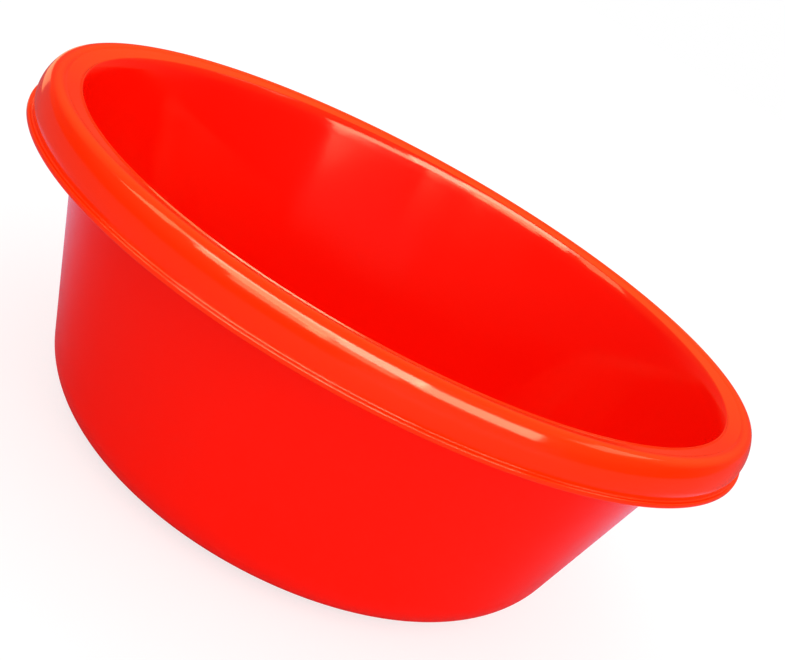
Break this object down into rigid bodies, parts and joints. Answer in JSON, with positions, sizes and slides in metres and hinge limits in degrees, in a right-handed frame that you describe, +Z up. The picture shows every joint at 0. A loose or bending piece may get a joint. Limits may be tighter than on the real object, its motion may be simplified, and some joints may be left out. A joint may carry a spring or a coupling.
{
  "type": "washing up bowl",
  "caption": "Round plastic bowl with sloping sides, a rounded bottom edge and a rolled rim that turns down into a small lip.",
  "frame": {"origin": "middle of the round foot, on the surface that the bowl stands on", "axes": "+Z up along the bowl's axis; the bowl is round, so X and Y are level and free to choose"},
  "size_m": [0.36, 0.3598, 0.1384],
  "materials": {
    "moulded_plastic": "glossy on the rim, soft satin on the walls"
  },
  "bodies": {
    "root": {"bowl": "moulded_plastic"}
  },
  "joints": []
}
